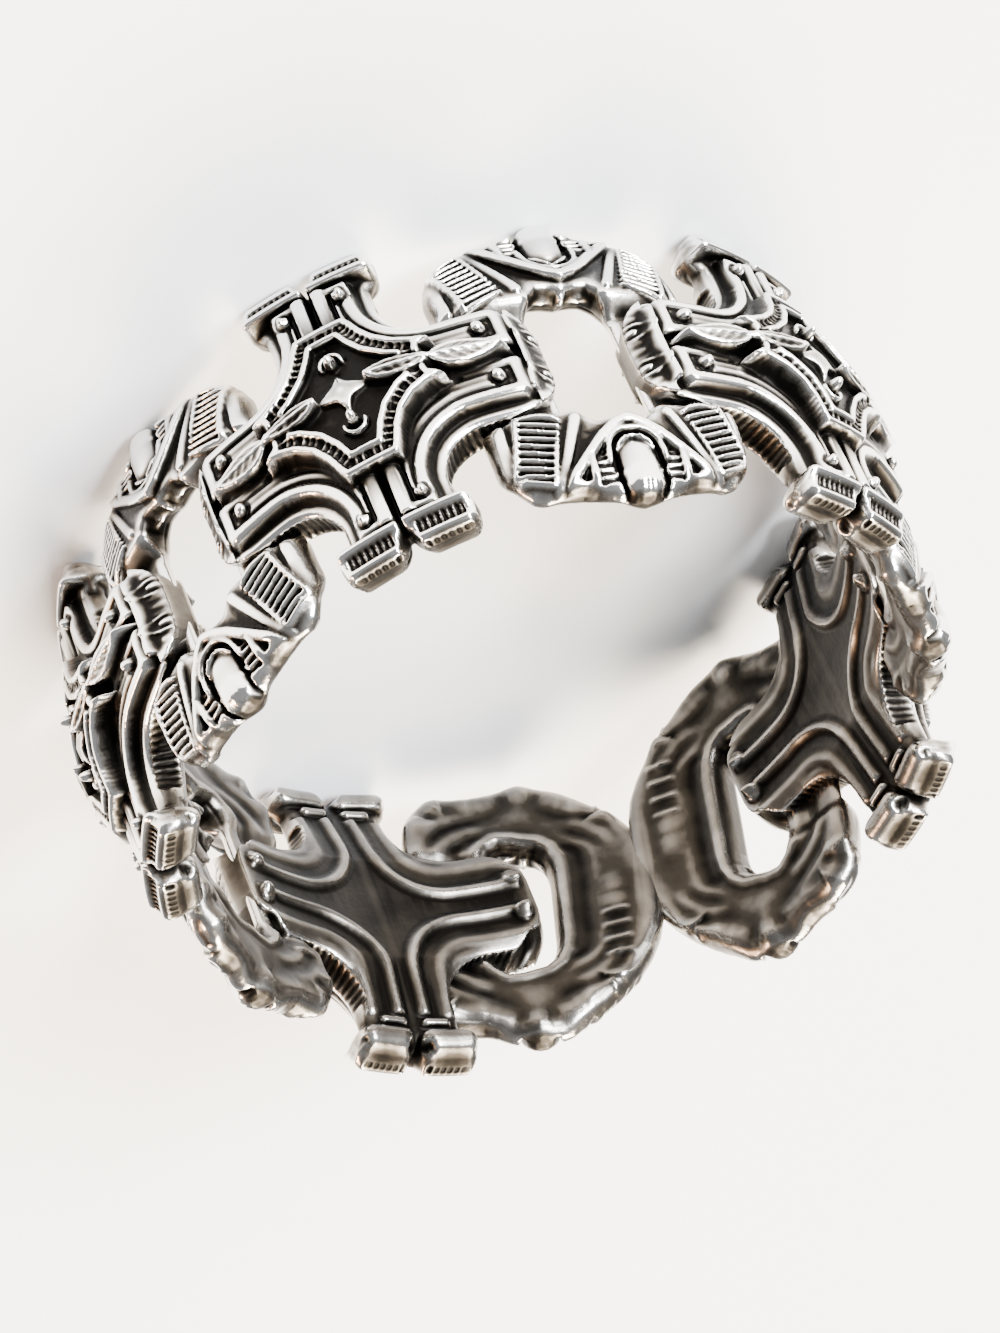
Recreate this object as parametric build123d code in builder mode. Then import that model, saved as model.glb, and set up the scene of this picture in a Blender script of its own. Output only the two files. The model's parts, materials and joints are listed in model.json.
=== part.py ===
"""Cross band ring: five crosses and six oval links cast as one silver band. Millimetres, +Z along the finger."""
from build123d import *
import math
import os

os.makedirs("parts", exist_ok=True)

# The band as a whole
cross_count = 5
pitch = 67.0  # degrees from one cross to the next
end_pitch = 28.0  # degrees from the last cross to an end link, which sits closer
end_outward = 0.3  # how far the two end links stand out
end_twist = 12.0  # degrees that the end links lean in their own plane
half_width = 5.6  # half the band's width, at the hooves
finger_radius = 10.3  # the hollow at mid-width
rim_radius = 11.0  # the hollow at the rims, which are eased for comfort
straight_half = 2.0  # half the width over which the hollow is a plain bore
link_back = 0.08  # how far the links' inner sides are set back from the crosses'
cross_core = 9.0  # where a cross starts, before the hollow is cut
link_core = 9.3  # where a link starts, before the hollow is cut
reach = 15.0  # how far radial prisms are drawn before they are trimmed
sink = 0.1  # how far each level starts inside the one below

# Heights of the cross, as radii
ledge_radius = 11.75
channel_radius = 12.0
ridge_radius = 12.3
groove_radius = 11.4

# Outline of the cross
arm_reach = 4.85
arm_half = 2.1
arm_corner = 0.45
post_half = 1.6
crotch = 1.5
ledge_width = 0.4
ridge_width = 0.24
groove_half = 0.14
lip_reach = 0.42
lip_half = 1.45
lip_corner = 0.3
stud_radius = 0.2
stud_top = 12.2
arm_stud = (4.0, 0.95)
post_stud = (0.86, 4.05)

# Hooves at the four ends of the posts
hoof_reach = 2.0
hoof_root = 4.45
hoof_corner = 0.5
notch_half = 0.32
notch_depth = 0.7
panel_centre = (1.05, 5.15)
panel_length = 0.5
panel_slots = 5
slot_pitch = 0.27
slot_width = 0.13

# Star plate on the cross
plate_radius = 13.0  # its crown, at mid-width
plate_fall = 0.3  # how much lower its tips are than its crown
plate_tip = 2.75
plate_tip_half = 0.72
plate_end = 2.75
plate_end_half = 0.72
plate_waist = 1.35
plate_border = 0.2
milled_width = 0.36
milled_depth = 0.22
field_depth = 0.3
star_long = 1.15
star_short = 0.85
star_waist = 0.26
star_drop = 0.05
star_stud_place = 1.3

# Leaves of the spine, as start, end and half width along the arm
leaves = ((1.0, 3.0, 0.36), (2.7, 4.45, 0.34))
leaf_radius = 12.85

# Grooves of the inner face, which follow the cross
inner_groove_inset = 0.5
inner_groove_width = 0.4
inner_groove_depth = 0.25

# Link
link_half = 3.65
link_top = 5.15
link_corner = 1.8
bulge_half = 1.6
link_tip = 5.5
hole_half = 1.2
hole_side = 2.2
hole_tip = 2.75
link_radius = 11.7
link_slope_start = 2.7
link_rim_radius = 11.1
eye_rise = 0.22
eye_half = 2.2
eye_width = 0.24
eye_foot = 4.85
eye_tip = 5.38
eye_shoulder = 3.75
eye_apex = 3.2
boss_radius = 0.62
boss_place = 4.4
boss_height = 11.1
flank_places = (1.0, 1.4)
flank_width = 0.2
flank_length = 0.7
patch_foot = (2.95, 4.25)
patch_top = (2.35, 2.4)
patch_width = 1.0
patch_border = 0.14
patch_slots = 6
patch_rise = 0.1


def at_corner(vertex, y, z):
    """Whether a vertex stands at plus or minus y and plus or minus z."""
    return abs(abs(vertex.Y) - y) < 1e-4 and abs(abs(vertex.Z) - z) < 1e-4


def cross_area(inset):
    """The cross without its hooves, drawn in by inset on every side."""
    post, arm, end = post_half - inset, arm_half - inset, arm_reach - inset
    with BuildSketch(Plane.YZ) as area:
        Rectangle(2 * end, 2 * arm)
        Rectangle(2 * post, hoof_root + half_width)
        fillet(area.vertices().filter_by(lambda v: at_corner(v, post, arm)), crotch + inset)
        fillet(area.vertices().filter_by(lambda v: at_corner(v, end, arm)), arm_corner)
    return area.sketch


def hoof_area():
    """The four hooves, in two pairs."""
    middle = (hoof_root + half_width) / 2
    with BuildSketch(Plane.YZ) as area:
        with Locations((0, middle), (0, -middle)):
            RectangleRounded(2 * hoof_reach, half_width - hoof_root, hoof_corner)
    return area.sketch


def notch_area():
    """The notches in the rims between two hooves."""
    edge = half_width + 1
    spread = notch_half * (1 + 1 / notch_depth)
    with BuildSketch(Plane.YZ) as area:
        for side in (1, -1):
            with BuildLine():
                Polyline((-spread, side * edge), (0, side * (half_width - notch_depth)), (spread, side * edge),
                         close=True)
            make_face()
    return area.sketch


def panel_area():
    """The reeded panels sunk in the hooves' outer faces, less their ribs."""
    with BuildSketch(Plane.YZ) as area:
        for side in (1, -1):
            for hand in (1, -1):
                with Locations((hand * panel_centre[0], side * panel_centre[1])):
                    with GridLocations(slot_pitch, 0, panel_slots, 1):
                        Rectangle(slot_width, panel_length)
    return area.sketch


def rail_area():
    """The ridges on both sides of the grooves between the hooves."""
    length = hoof_root + groove_half - plate_tip
    centre = plate_tip + length / 2
    side = groove_half + ridge_width / 2
    with BuildSketch(Plane.YZ) as area:
        with Locations((side, centre), (-side, centre), (side, -centre), (-side, -centre)):
            Rectangle(ridge_width, length)
    return area.sketch


def plate_area(inset):
    """The star plate: four hollow sides between blunt tips, drawn in by inset."""
    tip, end = plate_tip - inset, plate_end - inset
    tip_half, end_half = plate_tip_half - inset / 2, plate_end_half - inset / 2
    waist = plate_waist - 0.75 * inset
    with BuildSketch(Plane.YZ) as area:
        with BuildLine():
            for y in (1, -1):
                for z in (1, -1):
                    ThreePointArc((y * tip_half, z * tip), (y * waist, z * waist), (y * end, z * end_half))
            for side in (1, -1):
                Line((-tip_half, side * tip), (tip_half, side * tip))
                Line((side * end, -end_half), (side * end, end_half))
        make_face()
    return area.sketch


def star_area():
    """The small four-pointed star in the middle of the plate."""
    points = []
    for quarter in range(4):
        turn = math.radians(90 * quarter)
        length = star_short if quarter % 2 else star_long
        points.append((length * math.cos(turn), length * math.sin(turn)))
        between = turn + math.radians(45)
        points.append((star_waist * math.cos(between), star_waist * math.sin(between)))
    with BuildSketch(Plane.YZ) as area:
        with BuildLine():
            Polyline(*points, close=True)
        make_face()
    return area.sketch


def leaf_area(start, end, half, side):
    """A lens-shaped leaf along one arm."""
    middle = (start + end) / 2
    with BuildSketch(Plane.YZ) as area:
        with BuildLine():
            ThreePointArc((side * start, 0), (side * middle, half), (side * end, 0))
            ThreePointArc((side * start, 0), (side * middle, -half), (side * end, 0))
        make_face()
    return area.sketch


def studs_area(places, radius):
    """Round studs at plus and minus each place."""
    with BuildSketch(Plane.YZ) as area:
        for y, z in places:
            with Locations((y, z), (-y, z), (y, -z), (-y, -z)):
                Circle(radius)
    return area.sketch


def link_area():
    """An oval link: rounded shoulders, a bulge at each rim and its hole."""
    with BuildSketch(Plane.YZ) as area:
        RectangleRounded(2 * link_half, 2 * link_top, link_corner)
        for side in (1, -1):
            with BuildLine():
                ThreePointArc((-bulge_half, side * link_top), (0, side * link_tip), (bulge_half, side * link_top))
                Polyline((-bulge_half, side * link_top), (0, 0), (bulge_half, side * link_top))
            make_face()
        with BuildLine():
            for side in (1, -1):
                ThreePointArc((-hole_half, side * hole_side), (0, side * hole_tip), (hole_half, side * hole_side))
                Line((side * hole_half, -hole_side), (side * hole_half, hole_side))
        make_face(mode=Mode.SUBTRACT)
    return area.sketch


def eye_area(side, inset):
    """The eye on a link's bar: an ogive towards the hole over a flat curve along the rim."""
    half, foot = eye_half - 1.5 * inset, eye_foot - 0.5 * inset
    shoulder, apex = eye_shoulder + inset, eye_apex + 1.2 * inset
    with BuildSketch(Plane.YZ) as area:
        with BuildLine():
            for hand in (1, -1):
                ThreePointArc((hand * half, side * foot), (hand * 0.6 * half, side * shoulder), (0, side * apex))
            ThreePointArc((-half, side * foot), (0, side * (eye_tip - inset)), (half, side * foot))
        make_face()
    return area.sketch


def flank_area():
    """The upright bars beside the bosses of a link."""
    with BuildSketch(Plane.YZ) as area:
        for place in flank_places:
            with Locations((place, boss_place), (-place, boss_place), (place, -boss_place), (-place, -boss_place)):
                Rectangle(flank_width, flank_length)
    return area.sketch


def patch_area():
    """The four slanting shoulder patches of a link, less their slots."""
    run, fall = patch_foot[0] - patch_top[0], patch_foot[1] - patch_top[1]
    lean = math.degrees(math.atan2(run, fall))
    rows = [((slot + 0.5) / patch_slots, slot_width) for slot in range(patch_slots)]
    with BuildSketch(Plane.YZ) as area:
        for y, z in ((1, 1), (1, -1), (-1, 1), (-1, -1)):
            with Locations(Location((y * (patch_top[0] + run / 2), z * (patch_top[1] + fall / 2)), -y * z * lean)):
                Rectangle(patch_width, math.hypot(run, fall))
            for place, width in rows:
                spot = (y * (patch_top[0] + place * run), z * (patch_top[1] + place * fall))
                with Locations(Location(spot, -y * z * lean)):
                    Rectangle(patch_width - 2 * patch_border, width, mode=Mode.SUBTRACT)
    return area.sketch


def lip_area():
    """The lips past both arms' ends, which wrap the links' sides."""
    with BuildSketch(Plane.YZ) as area:
        with Locations((arm_reach, 0), (-arm_reach, 0)):
            RectangleRounded(2 * lip_reach, 2 * lip_half, lip_corner)
    return area.sketch


def groove_area():
    """The grooves that part the hooves, from the star plate's tips to the rims."""
    length = half_width - plate_tip + groove_half
    with BuildSketch(Plane.YZ) as area:
        with Locations((0, half_width - length / 2), (0, length / 2 - half_width)):
            Rectangle(2 * groove_half, length)
    return area.sketch


def trimmed(area, top, start):
    """A radial prism over an area of the outer face, from one radius up to another."""
    with BuildPart() as piece:
        extrude(area, amount=reach)
        Cylinder(top, 4 * half_width, mode=Mode.INTERSECT)
        Cylinder(start, 4 * half_width, mode=Mode.SUBTRACT)
    return piece.part


def inner_groove_area():
    """A groove round the inside of the cross, which follows its outline."""
    return cross_area(inner_groove_inset) - cross_area(inner_groove_inset + inner_groove_width)


def turned(area, profile, start):
    """A radial prism over an area, under a surface turned from a profile of (radius, height) points."""
    low, high = profile[0][1], profile[-1][1]
    with BuildPart() as piece:
        with BuildSketch(Plane.XZ):
            with BuildLine():
                if len(profile) == 3:
                    ThreePointArc(*profile)
                else:
                    Polyline(*profile)
                Polyline(profile[0], (0, low), (0, high), profile[-1])
            make_face()
        revolve(axis=Axis.Z)
        if area:
            extrude(area, amount=reach, mode=Mode.INTERSECT)
        if start:
            Cylinder(start, 4 * half_width, mode=Mode.SUBTRACT)
    return piece.part


def crowned(area, drop, start):
    """A piece of the star plate, whose top lies drop below the plate's crowned surface."""
    top = plate_radius - drop
    low = top - plate_fall
    return turned(area, ((low, -plate_tip), (top, 0), (low, plate_tip)), start)


def sloped(area, rise, start=link_core):
    """A piece of a link, whose top lies rise above the surface that slopes down to both rims."""
    fall = (link_radius - link_rim_radius) / (link_tip - link_slope_start)
    edge = link_tip + 1
    low = link_rim_radius + rise - fall
    top = link_radius + rise
    return turned(area, ((low, -edge), (top, -link_slope_start), (top, link_slope_start), (low, edge)), start)


def hollow(depth, area=None):
    """The finger's space under a cross, grown by depth: straight at mid-width and eased towards the rims."""
    ease = (rim_radius - finger_radius) / (half_width - straight_half)
    edge = half_width + 1
    wide, narrow = rim_radius + depth + ease, finger_radius + depth
    return turned(area, ((wide, -edge), (narrow, -straight_half), (narrow, straight_half), (wide, edge)), None)


def around(piece, turn, outward=0, twist=0):
    """A copy twisted about its own radius, moved outward and turned about the finger's axis."""
    return piece.rotate(Axis.X, twist).translate((outward, 0, 0)).rotate(Axis.Z, turn)


def cross_layers():
    """Everything that stands up on a cross, level by level."""
    hooves = hoof_area() - notch_area()
    grooves = groove_area() + notch_area()
    outline = cross_area(0) + hooves + lip_area()
    face = cross_area(ledge_width) + hooves
    ridges = cross_area(ledge_width) - cross_area(ledge_width + ridge_width) + rail_area() + hooves - panel_area()
    field_edge = plate_border + milled_width
    field_inset = field_edge + plate_border
    milled_foot = plate_radius - plate_fall - field_depth - sink
    layers = [
        trimmed(outline, groove_radius, cross_core),
        trimmed(outline - grooves, ledge_radius, groove_radius - sink),
        trimmed(face - grooves, channel_radius, ledge_radius - sink),
        trimmed(ridges - grooves, ridge_radius, channel_radius - sink),
        trimmed(studs_area((arm_stud, post_stud), stud_radius), stud_top, channel_radius - sink),
        crowned(plate_area(0), field_depth, channel_radius - sink),
        crowned(plate_area(0) - plate_area(field_inset), milled_depth, milled_foot),
        crowned(plate_area(0) - plate_area(plate_border), 0, milled_foot),
        crowned(plate_area(field_edge) - plate_area(field_inset), 0, milled_foot),
        crowned(star_area(), star_drop, milled_foot),
        crowned(studs_area(((0, star_stud_place),), stud_radius), 0, milled_foot),
    ]
    for start, end, half in leaves:
        for side in (1, -1):
            layers.append(trimmed(leaf_area(start, end, half, side), leaf_radius, channel_radius - sink))
    return layers


def link_layers():
    """Everything that stands up on a link."""
    layers = [sloped(link_area(), 0), sloped(patch_area(), patch_rise), sloped(flank_area(), eye_rise)]
    for side in (1, -1):
        layers.append(sloped(eye_area(side, 0) - eye_area(side, eye_width), eye_rise))
    return layers


cross_body = cross_layers()
cross_hollow = hollow(0)
inner_grooves = hollow(inner_groove_depth, inner_groove_area())
with BuildPart() as cross:
    add(cross_body)
    add(cross_hollow, mode=Mode.SUBTRACT)
    add(inner_grooves, mode=Mode.SUBTRACT)

link_body = link_layers()
with BuildPart() as link:
    add(link_body)
    with Locations((boss_height, 0, boss_place), (boss_height, 0, -boss_place)):
        Sphere(boss_radius)
    Cylinder(finger_radius + link_back, 4 * half_width, mode=Mode.SUBTRACT)

cross_turns = [(place - (cross_count - 1) / 2) * pitch for place in range(cross_count)]
link_turns = [turn + pitch / 2 for turn in cross_turns[:-1]]
end_turn = cross_turns[-1] + end_pitch
with BuildPart() as band:
    add([around(cross.part, turn) for turn in cross_turns])
    add([around(link.part, turn) for turn in link_turns])
    add([around(link.part, side * end_turn, end_outward, end_twist) for side in (1, -1)])

box = band.part.bounding_box()
stand = (-(box.min.X + box.max.X) / 2, -(box.min.Y + box.max.Y) / 2, -box.min.Z)
band.part = band.part.translate(stand)
band.part.label = "band"
print("finger axis at", round(stand[0], 4), round(stand[1], 4), "half width", round(stand[2], 4))
export_step(band.part, "parts/band.step")
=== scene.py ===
"""Looks of the cross band ring: carved crosses and oval links in blackened silver, on a pale floor.

Carving sizes are millimetres, in the frame of one piece that faces +X: y round the finger, z along it and
heights as radii from the finger's axis. Only placed pieces, the floor, the lights and the camera are in
metres.
"""
from functools import partial
import json
import math

import bpy
import numpy as np
import openvdb
from mathutils import Matrix, Vector


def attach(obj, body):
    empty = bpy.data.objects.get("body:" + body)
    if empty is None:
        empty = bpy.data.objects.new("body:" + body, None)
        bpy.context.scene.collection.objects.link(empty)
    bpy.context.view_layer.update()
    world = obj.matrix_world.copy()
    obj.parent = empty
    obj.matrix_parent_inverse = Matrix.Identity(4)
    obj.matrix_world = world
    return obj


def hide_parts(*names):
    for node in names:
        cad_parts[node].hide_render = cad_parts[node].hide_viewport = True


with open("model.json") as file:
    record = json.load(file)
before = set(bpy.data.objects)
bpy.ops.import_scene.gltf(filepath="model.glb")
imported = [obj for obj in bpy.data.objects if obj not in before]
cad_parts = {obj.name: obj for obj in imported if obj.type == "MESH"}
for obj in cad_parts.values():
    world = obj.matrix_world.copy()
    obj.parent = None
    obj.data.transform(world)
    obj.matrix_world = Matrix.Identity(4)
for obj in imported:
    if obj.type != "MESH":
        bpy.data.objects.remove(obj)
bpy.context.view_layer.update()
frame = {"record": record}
MM = 0.001

# The band as a whole, as in the CAD
CROSS_COUNT = 5
PITCH = 67.0  # degrees from one cross to the next
HALF_WIDTH = 5.6
FINGER_RADIUS = 10.3
RIM_RADIUS = 11.0
STRAIGHT_HALF = 2.0  # half the width over which the hollow is a plain bore
LINK_BACK = 0.08  # how far the links' inner sides are set back from the crosses'

# The two end links, which are placed one by one, close to where the CAD has them: the turn in degrees, the
# width as a share of the others', and the lift of each
END_LINKS = ((159.8, 0.91, 0.2), (-161.2, 0.96, 0.35))
END_OUTWARD = 0.3
END_TWIST = 13.0

# Widths over which the carving's edges ease, from the sharpest
SHARP = 0.05
CRISP = 0.06
EDGE = 0.07
FIRM = 0.08
SOFT = 0.1
BROAD = 0.2

# Grids that the pieces are carved in, and the triangles that are kept of each
LOWEST = 10.0
HIGHEST = 13.5
CROSS_STEP = 0.054
CROSS_HALF = (5.55, 5.75)  # half the grid's size along y and z
CROSS_TRIANGLES = 110000
LINK_STEP = 0.058
LINK_HALF = (3.8, 5.7)
END_LINK_HALF = (4.2, 5.7)
LINK_TRIANGLES = 68000
FAR = 99.0  # farther than any place is from a line
FAR_STEPS = 3.0  # distances from the surface are kept up to this many steps
STEEPEST = 16  # the most that a slope's square counts when distances are worked out
SMOOTHING = 0.45  # radius, in steps, that the carving is smoothed by
FINE_BLUR = 2.0  # radius, in steps, of the edges and grooves that gain and lose wear
WIDE_BLUR = 6.0

# Wear and painted shade, from 0 for black to 1 for polished silver: patina and polish follow the carving's
# grooves and edges, and painted shade darkens walls and inner faces
FLAT_WEAR = 0.47
OUTER_FINE, INNER_FINE = 4.2, 2.6  # what thin edges gain and thin grooves lose, on outer and inner faces
OUTER_WIDE, INNER_WIDE = 1.1, 1.6  # the same for broad forms
OUTER_STEEP_SHADE, INNER_STEEP_SHADE = 0.36, 0.17  # painted shade: what upright walls lose
INNER_SHADE = 0.16  # painted shade: what all inner faces lose
INNER_SHADE_LIMIT = 0.56  # painted shade: the most that faces turned to the finger ease to
INNER_SHADE_EASE = 0.1
SOOT_SHADE = 0.4  # what is lost where a piece's soot is 1
RIM_START = 5.42  # how far from mid-width the walls at the two rims start
RIM_SHADE = 0.3  # what those walls lose
UPRIGHT = 0.7  # how far a wall may face outward or inward and still count as one


def eased(x, width):
    """0 below minus half the width and 1 above half of it, with an eased slope between."""
    t = np.clip(x / width + 0.5, 0, 1)
    return t * t * (3 - 2 * t)


def band(distance, half, soft=EDGE):
    """1 within half of a line, easing to 0."""
    return eased(half - np.abs(distance), soft)


def climb(x, start, length):
    """0 before start and 1 a length further on, with a straight slope between."""
    return np.clip((x - start) / length, 0, 1)


def bump(distance, half):
    """A rounded bump: 1 on a line or point, easing to 0 at half."""
    return 0.5 + 0.5 * np.cos(np.pi * np.clip(distance / half, -1, 1))


def dome(distance, half):
    """A half-round dome of height 1."""
    return np.sqrt(np.clip(1 - (distance / half) ** 2, 0, 1))


def waves(place, pitch):
    """Reeding: 1 on each rib and 0 between two."""
    return 0.5 + 0.5 * np.cos(2 * np.pi * place / pitch)


def rounded(distance, half, top, drop):
    """A ridge's top: highest on its line and lower by drop at its sides."""
    return top - drop * np.clip(distance / half, -1, 1) ** 2


def roll(distance, radius):
    """How far a quarter-round edge of that radius falls, at a distance in from the edge."""
    return radius - np.sqrt(radius**2 - np.clip(radius - distance, 0, radius) ** 2)


def lay(height, level, share):
    """The height where share is 0 and the level where it is 1."""
    return height + (level - height) * share


def arc(centre, radius, start, end, count=12):
    """Points of an arc, with its ends given in degrees."""
    turns = np.radians(np.linspace(start, end, count))
    return [(centre[0] + radius * math.cos(t), centre[1] + radius * math.sin(t)) for t in turns]


def follow(y, z, line):
    """Distance from each place to a line of points, and how far along the line the nearest point is."""
    best = np.full(y.shape, FAR)
    along = np.zeros(y.shape)
    gone = 0.0
    for (y0, z0), (y1, z1) in zip(line, line[1:]):
        dy, dz = y1 - y0, z1 - z0
        length = math.hypot(dy, dz)
        share = np.clip(((y - y0) * dy + (z - z0) * dz) / length**2, 0, 1)
        distance = np.hypot(y - y0 - share * dy, z - z0 - share * dz)
        nearer = distance < best
        best = np.where(nearer, distance, best)
        along = np.where(nearer, gone + share * length, along)
        gone += length
    return best, along


def within(y, z, outline):
    """Which places lie inside a closed outline."""
    odd = np.zeros(y.shape, bool)
    for (y0, z0), (y1, z1) in zip(outline, outline[1:] + outline[:1]):
        if z0 != z1:
            odd ^= ((z0 > z) != (z1 > z)) & (y < (y1 - y0) * (z - z0) / (z1 - z0) + y0)
    return odd


def depth(y, z, line, closing=((0, 0),)):
    """Distance inside an outline, less than 0 outside, and how far along its line the nearest point is.

    The closing points make the line an outline, and no distance is measured to them.
    """
    distance, along = follow(y, z, line)
    return np.where(within(y, z, line + list(closing)), distance, -distance), along


def hollow_radius(z):
    """The finger's space: straight at mid-width and eased towards the rims."""
    share = climb(np.abs(z), STRAIGHT_HALF, HALF_WIDTH - STRAIGHT_HALF)
    return FINGER_RADIUS + (RIM_RADIUS - FINGER_RADIUS) * share


# Outlines of the cross, a quarter of it: a along the arm and b along the post
CROTCH_CENTRE = (3.1, 3.6)
CROTCH_RADIUS = 1.5
CROTCH_ARC = arc(CROTCH_CENTRE, CROTCH_RADIUS, -90, -180)
CROSS_EDGE = (
    [(5.42, 0), (5.42, 0.7), (5.36, 1.1), (5.2, 1.5), (4.92, 1.82), (4.58, 2.02), (4.2, 2.1)]
    + CROTCH_ARC
    + [(1.6, 4.3), (1.98, 4.72), (2.04, 5.0), (1.98, 5.3), (1.8, 5.52), (1.6, 5.6), (0.5, 5.6)]
    + [(0.32, 5.5), (0.12, 5.05), (0, 4.9)]
)
BORDER_LINE = (
    [(2.6, -0.12), (5.12, -0.12), (5.12, 1.4), (5.0, 1.8), (4.6, 2.1)]
    + CROTCH_ARC
    + [(1.6, 4.98), (-0.2, 4.98), (-0.2, 2.0)]
)
PLATE_REACH = 2.75
PLATE_EDGE = [
    (2.35, 0), (2.4, 0.5), (2.8, 0.74), (2.3, 0.86), (1.85, 1.08), (1.42, 1.48), (1.14, 1.95),
    (0.95, 2.45), (0.8, PLATE_REACH), (0, PLATE_REACH),
]
INNER_LINE = [(4.4, 0.5), (2.5, 0.5)] + arc((2.5, 2.6), 2.1, -90, -180) + [(0.4, 4.5)]
INNER_CORNER = (4.4, 4.5)  # closes the inner line round the crotch

# Mouldings along the border line: start, end and height of each
MOULDINGS = ((0.4, 0.8, 12.22), (0.8, 1.2, 12.2), (1.2, 2.2, 12.3))
MOULDING_DROP = 0.09  # how much lower their sides are
MOULDING_GROOVE = 0.15  # depth of the groove before each
MOULDING_GROOVE_HALF = 0.025


def cross_borders(a, b, height):
    """Mouldings that follow the outline: a step up from the ledge, and three bands parted by grooves."""
    inside, _ = depth(a, b, BORDER_LINE)
    for start, end, level in MOULDINGS:
        middle, half = (start + end) / 2, (end - start) / 2
        top = rounded(inside - middle, half, level, MOULDING_DROP)
        height = lay(height, top, eased(inside - start, CRISP))
        groove = band(inside - start, MOULDING_GROOVE_HALF, CRISP)
        height = lay(height, level - MOULDING_GROOVE, groove)
    return height


# Bars beside the spine: place along b, middle and half length along a
SPINE_BARS = ((0.42, 3.75, 0.5), (0.66, 3.5, 0.45))
SPINE_BAR = 12.2
SPINE_BAR_HALF = 0.05


def spine_bars(a, b, height):
    """Short bars beside the leaves of the spine."""
    for place, middle, half in SPINE_BARS:
        bar = band(b - place, SPINE_BAR_HALF) * band(a - middle, half, BROAD)
        height = lay(height, SPINE_BAR, bar)
    return height


# The nose at the end of each arm
NOSE_START = 4.72
NOSE = 11.95
NOSE_STUD = (5.16, 0.72)
NOSE_STUD_RADIUS = 0.13
NOSE_STUD_RISE = 0.2
NOSE_COLLAR_RADIUS = 0.27
NOSE_COLLAR_RISE = 0.16
NOSE_COLLAR_END = 5.22
LENS_PLACE = 4.86
LENS_BOW = 0.06
LENS_END = 1.5
LENS = 12.25
FAN_CENTRE = 4.9
FAN_START = 4.98
FAN_SPREAD = 0.3
FAN_PITCH = 0.3
FAN_RISE = 0.06
BEND_START = 4.42  # where the arm's face starts to curve down
BEND_LENGTH = 1.03
BEND_DROP = 1.5


def arm_end(a, b, height):
    """The nose past the arm's mouldings: a ridge in the shape of a lens, studs in collars and a fan."""
    nose = eased(a - NOSE_START, CRISP)
    height = lay(height, NOSE, nose)
    spread = 1 - FAN_SPREAD * (a - FAN_CENTRE)
    fan = waves(b * spread, FAN_PITCH) * (1 - band(b - NOSE_STUD[1], half=0.34, soft=CRISP))
    height = height + FAN_RISE * nose * fan * eased(a - FAN_START, CRISP)
    lens = a - LENS_PLACE + LENS_BOW * b**2
    on_lens = nose * band(lens, half=0.09) * eased(LENS_END - b, SOFT)
    height = lay(height, rounded(lens, half=0.1, top=LENS, drop=0.08), on_lens)
    spot = np.hypot(a - NOSE_STUD[0], b - NOSE_STUD[1])
    collar = band(spot - NOSE_COLLAR_RADIUS, half=0.05, soft=SHARP)
    collar = NOSE_COLLAR_RISE * collar * eased(NOSE_COLLAR_END - a, SOFT)
    return height + nose * (collar + NOSE_STUD_RISE * dome(spot, NOSE_STUD_RADIUS))


def arm_bend(a):
    """How far the arm's face has curved down towards its nose."""
    share = np.clip((a - BEND_START) / BEND_LENGTH, 0, 0.99)
    return BEND_DROP * (1 - np.sqrt(1 - share**2))


# The post: its groove, and the slot and the rail on each side of it
HOOF_ROOT = 4.62  # where the post ends and its hooves start
POST_START = 2.2
POST_SLOT = (0.6, 3.7)
POST_SLOT_HALF = (0.05, 0.55)
SLOT = 12.01
RAIL_PLACE = 0.31
RAIL_HALF = 0.22
RAIL = 12.33
GROOVE = 11.7  # along the post and between two hooves
GROOVE_HALF = 0.045


def middle_groove(a, b, height):
    """Rails, slot and groove of the post, between the plate's tip and the hooves."""
    beyond_plate = eased(b - POST_START, SOFT)
    post = beyond_plate * eased(HOOF_ROOT - b, SOFT)
    slot = post * band(a - POST_SLOT[0], POST_SLOT_HALF[0])
    slot = slot * band(b - POST_SLOT[1], POST_SLOT_HALF[1], SOFT)
    height = lay(height, SLOT, slot)
    rail = rounded(a - RAIL_PLACE, half=0.23, top=RAIL, drop=0.1)
    height = lay(height, rail, post * band(a - RAIL_PLACE, RAIL_HALF))
    return lay(height, GROOVE, beyond_plate * band(a, GROOVE_HALF))


# Studs
STUD_RADIUS = 0.2
CROSS_STUDS = ((4.0, 0.98), (0.86, 4.05))
CROSS_STUD_RISE = 0.26
CROSS_STUD_COLLAR = 0.1
FIELD_STUDS = ((0, 1.12),)
FIELD_STUD_RISE = 0.6


def studs(a, b, height, places, rise, collar):
    """Round studs, each in a shallow dark ring that is as deep as its collar says."""
    for y, z in places:
        distance = np.hypot(a - y, b - z)
        height = height - collar * band(distance - STUD_RADIUS - 0.04, half=0.05)
        stud = height + rise * dome(distance, STUD_RADIUS)
        height = np.maximum(height, np.where(distance < STUD_RADIUS, stud, 0))
    return height


# Hooves
HOOF = 12.28
HOOF_FALL = 0.4  # how much lower a hoof's face is at the rim
HOOF_FALL_START = 4.7
HOOF_FALL_LENGTH = 0.9
HOOF_PANEL = (1.06, 5.1)
HOOF_PANEL_HALF = (0.68, 0.15)
HOOF_PANEL_DEPTH = 0.17
HOOF_REED_RISE = 0.13
HOOF_REED_PITCH = 0.19
HOOF_BARS = ((4.79, 0.17, 0.1), (5.4, 0.18, 0.08))  # place along b, half width and rise
HOOF_SIDE = 2.06  # where the rounding of a hoof's side ends
HOOF_SIDE_RADIUS = 0.3
HOOF_RIM = 5.62  # where the rounding at the rim ends
HOOF_RIM_RADIUS = 0.26
HOOF_FOOT = 11.8  # the groove before a hoof
HOOF_FOOT_END = 1.62
HOOF_GAP = 0.05  # half the gap between two hooves, which opens to the rim
HOOF_GAP_GAIN = 0.3
HOOF_GAP_START = 4.9
HOOF_GAP_LENGTH = 0.7


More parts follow.
